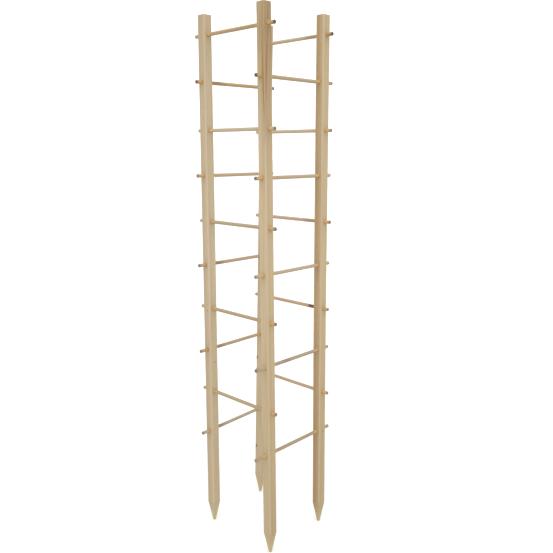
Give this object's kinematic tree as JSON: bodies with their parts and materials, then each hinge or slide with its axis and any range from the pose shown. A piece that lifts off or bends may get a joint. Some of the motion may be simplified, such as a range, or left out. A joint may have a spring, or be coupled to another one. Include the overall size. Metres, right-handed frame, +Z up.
{
  "type": "garden obelisk",
  "caption": "Tall square wooden plant frame: pointed corner posts joined by round dowel rungs pushed through them, staggered from face to face.",
  "frame": {"origin": "on the ground, at the middle of the footprint of the whole frame, rung ends included", "axes": "+Z up along the posts; +X along the rungs of the front and back faces, to the right as seen from the front; +Y from the front face to the back face; the front is the -Y face"},
  "size_m": [0.3711, 0.3897, 1.8004],
  "materials": {
    "post_pine": "planed, unfinished softwood",
    "dowel_pine": "turned softwood dowel, unfinished"
  },
  "bodies": {
    "root": {"post_front_left": "post_pine", "post_front_right": "post_pine", "post_back_left": "post_pine", "post_back_right": "post_pine", "rung_front_1": "dowel_pine", "rung_front_2": "dowel_pine", "rung_front_3": "dowel_pine", "rung_front_4": "dowel_pine", "rung_front_5": "dowel_pine", "rung_back_1": "dowel_pine", "rung_back_2": "dowel_pine", "rung_back_3": "dowel_pine", "rung_back_4": "dowel_pine", "rung_back_5": "dowel_pine", "rung_left_1": "dowel_pine", "rung_left_2": "dowel_pine", "rung_left_3": "dowel_pine", "rung_left_4": "dowel_pine", "rung_left_5": "dowel_pine", "rung_right_1": "dowel_pine", "rung_right_2": "dowel_pine", "rung_right_3": "dowel_pine", "rung_right_4": "dowel_pine", "rung_right_5": "dowel_pine"}
  },
  "joints": []
}
